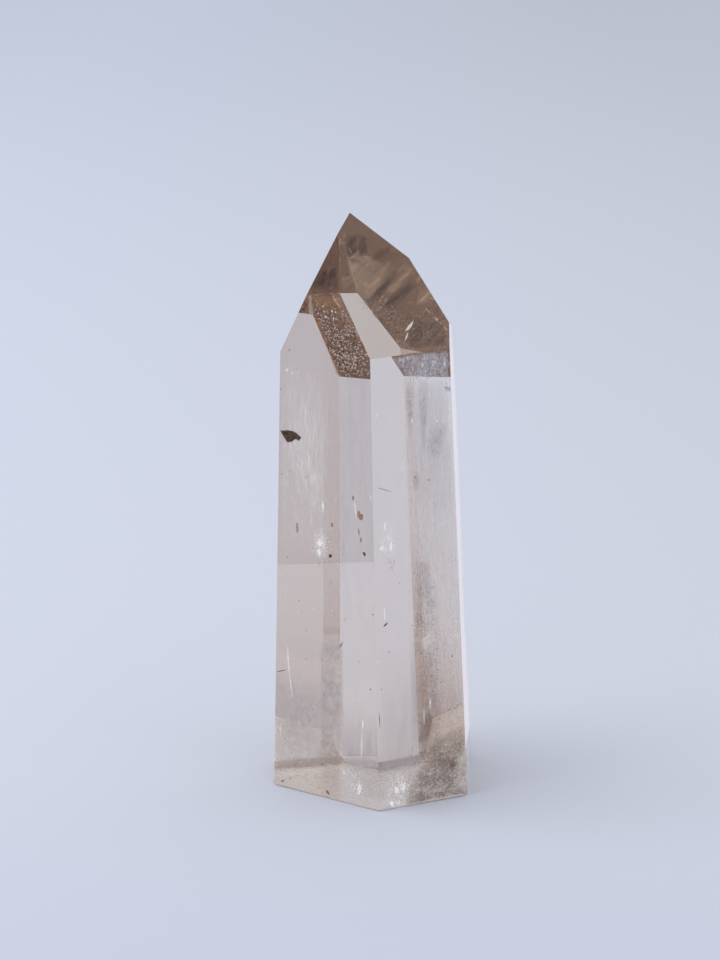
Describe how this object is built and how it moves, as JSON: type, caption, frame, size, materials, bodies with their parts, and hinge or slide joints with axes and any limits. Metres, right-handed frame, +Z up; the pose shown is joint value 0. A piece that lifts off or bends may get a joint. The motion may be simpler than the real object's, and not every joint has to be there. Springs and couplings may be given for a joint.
{
  "type": "smoky quartz point",
  "caption": "Free-standing see-through smoky quartz crystal, sawn flat below so that it stands, with long polished side faces and an off-centre faceted tip.",
  "frame": {"origin": "middle of the crystal's width and depth, on the plane of its sawn base", "axes": "+Z up along the crystal from base to tip, front towards -Y, where the front left and front right side faces meet in an upright edge below the front tip face, and +X to the right seen from the front"},
  "size_m": [0.0418, 0.0437, 0.1201],
  "materials": {
    "smoky_quartz": "Clear polished quartz of refractive index 1.54 with a pale brown body colour that deepens along long light paths, with fine veils, flakes and specks inside and a narrow ground edge around the base."
  },
  "bodies": {
    "root": {"quartz_point": "smoky_quartz"}
  },
  "joints": []
}
